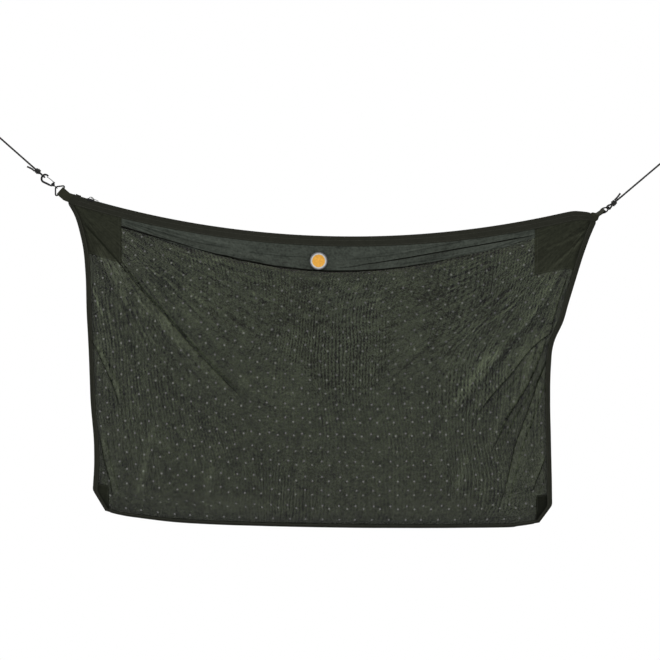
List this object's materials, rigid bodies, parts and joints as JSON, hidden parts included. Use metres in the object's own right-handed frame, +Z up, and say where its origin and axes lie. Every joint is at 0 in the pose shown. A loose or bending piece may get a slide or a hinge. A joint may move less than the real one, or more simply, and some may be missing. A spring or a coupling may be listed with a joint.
{
  "type": "carp sack",
  "caption": "Large zipped bag of soft olive mesh with webbing corners, rings, a swivel snap hook and knotted cords that hold it up.",
  "frame": {"origin": "middle of the left ring's bar, inside the eye of the left webbing", "axes": "+X runs along the sack from the left webbing to the right one, +Z points up and -Y is the front"},
  "size_m": [1.8765, 0.125, 1.0895],
  "materials": {
    "mesh_cloth": "matt knitted olive mesh",
    "double_mesh": "matt olive mesh in two layers",
    "dark_tape": "matt woven tape",
    "olive_webbing": "ribbed woven webbing",
    "black_cord": "braided cord",
    "black_plastic": "matt",
    "black_metal": "satin black",
    "badge": "woven, plain orange with a pale rim"
  },
  "bodies": {
    "sack": {"front_panel": "mesh_cloth", "back_panel": "mesh_cloth", "front_hem": "mesh_cloth", "back_hem": "mesh_cloth", "front_top_patch_left": "double_mesh", "front_top_patch_right": "double_mesh", "back_top_patch_left": "double_mesh", "back_top_patch_right": "double_mesh", "front_bottom_patch_left": "double_mesh", "front_bottom_patch_right": "double_mesh", "back_bottom_patch_left": "double_mesh", "back_bottom_patch_right": "double_mesh", "left_side_binding": "dark_tape", "right_side_binding": "dark_tape", "bottom_binding": "dark_tape", "zip_tape_front": "dark_tape", "zip_tape_back": "dark_tape", "zip_chain_front": "black_plastic", "zip_chain_back": "black_plastic", "zip_end_left": "dark_tape", "zip_end_right": "dark_tape", "badge": "badge", "left_webbing": "olive_webbing", "right_webbing": "olive_webbing"},
    "zip_slider": {"zip_slider": "black_metal"},
    "zip_pull": {"zip_pull": "black_metal"},
    "left_ring": {"left_ring": "black_metal"},
    "left_swivel_eye": {"left_swivel_eye": "black_metal"},
    "left_hook": {"left_hook": "black_metal"},
    "left_gate": {"left_gate": "black_metal"},
    "left_line": {"left_tie_loop": "black_cord", "left_knot": "black_cord", "left_cord_tail": "black_cord", "left_cord": "black_cord", "left_end_knot": "black_cord", "left_end_loop": "black_cord"},
    "right_ring": {"right_ring": "black_metal"},
    "right_line": {"right_tie_loop": "black_cord", "right_knot": "black_cord", "right_cord_tail": "black_cord", "right_cord": "black_cord", "right_end_knot": "black_cord", "right_end_loop": "black_cord"}
  },
  "joints": [
    {"name": "zip_slide", "type": "hinge", "parent": "sack", "child": "zip_slider", "pos_m": [0.765, 0, 2.361], "axis": [0, -1, 0], "range_deg": [-0.38, 28.3]},
    {"name": "pull_flip", "type": "hinge", "parent": "zip_slider", "child": "zip_pull", "pos_m": [0.08019, 0, -0.01706], "axis": [0, -1, 0], "range_deg": [0, 175]},
    {"name": "left_ring_swing", "type": "hinge", "parent": "sack", "child": "left_ring", "pos_m": [0, 0, 0], "axis": [-0.6613, 0, -0.7501], "range_deg": [-80, 80]},
    {"name": "left_eye_swing", "type": "hinge", "parent": "left_ring", "child": "left_swivel_eye", "pos_m": [-0.01258, 0, 0.01109], "axis": [-0.6613, 0, -0.7501], "range_deg": [-45, 45]},
    {"name": "left_hook_swivel", "type": "hinge", "parent": "left_swivel_eye", "child": "left_hook", "pos_m": [-0.01821, 0, 0.01605], "axis": [-0.7501, 0, 0.6613], "continuous": true},
    {"name": "left_gate_hinge", "type": "hinge", "parent": "left_hook", "child": "left_gate", "pos_m": [-0.01739, 0, 0.02333], "axis": [0, -1, 0], "range_deg": [0, 28], "stiffness_Nm_per_rad": 0.02, "springref_deg": -17.19},
    {"name": "left_line_swing", "type": "hinge", "parent": "left_hook", "child": "left_line", "pos_m": [-0.04709, 0, 0.04151], "axis": [-0.6613, 0, -0.7501], "range_deg": [-45, 45]},
    {"name": "right_ring_swing", "type": "hinge", "parent": "sack", "child": "right_ring", "pos_m": [1.42184, 0, -0.05024], "axis": [-0.204, 0.9272, 0.3142], "range_deg": [-80, 80]},
    {"name": "right_line_swing", "type": "hinge", "parent": "right_ring", "child": "right_line", "pos_m": [1.4359, 0, -0.04111], "axis": [-0.204, 0.9272, 0.3142], "range_deg": [-60, 60]}
  ]
}
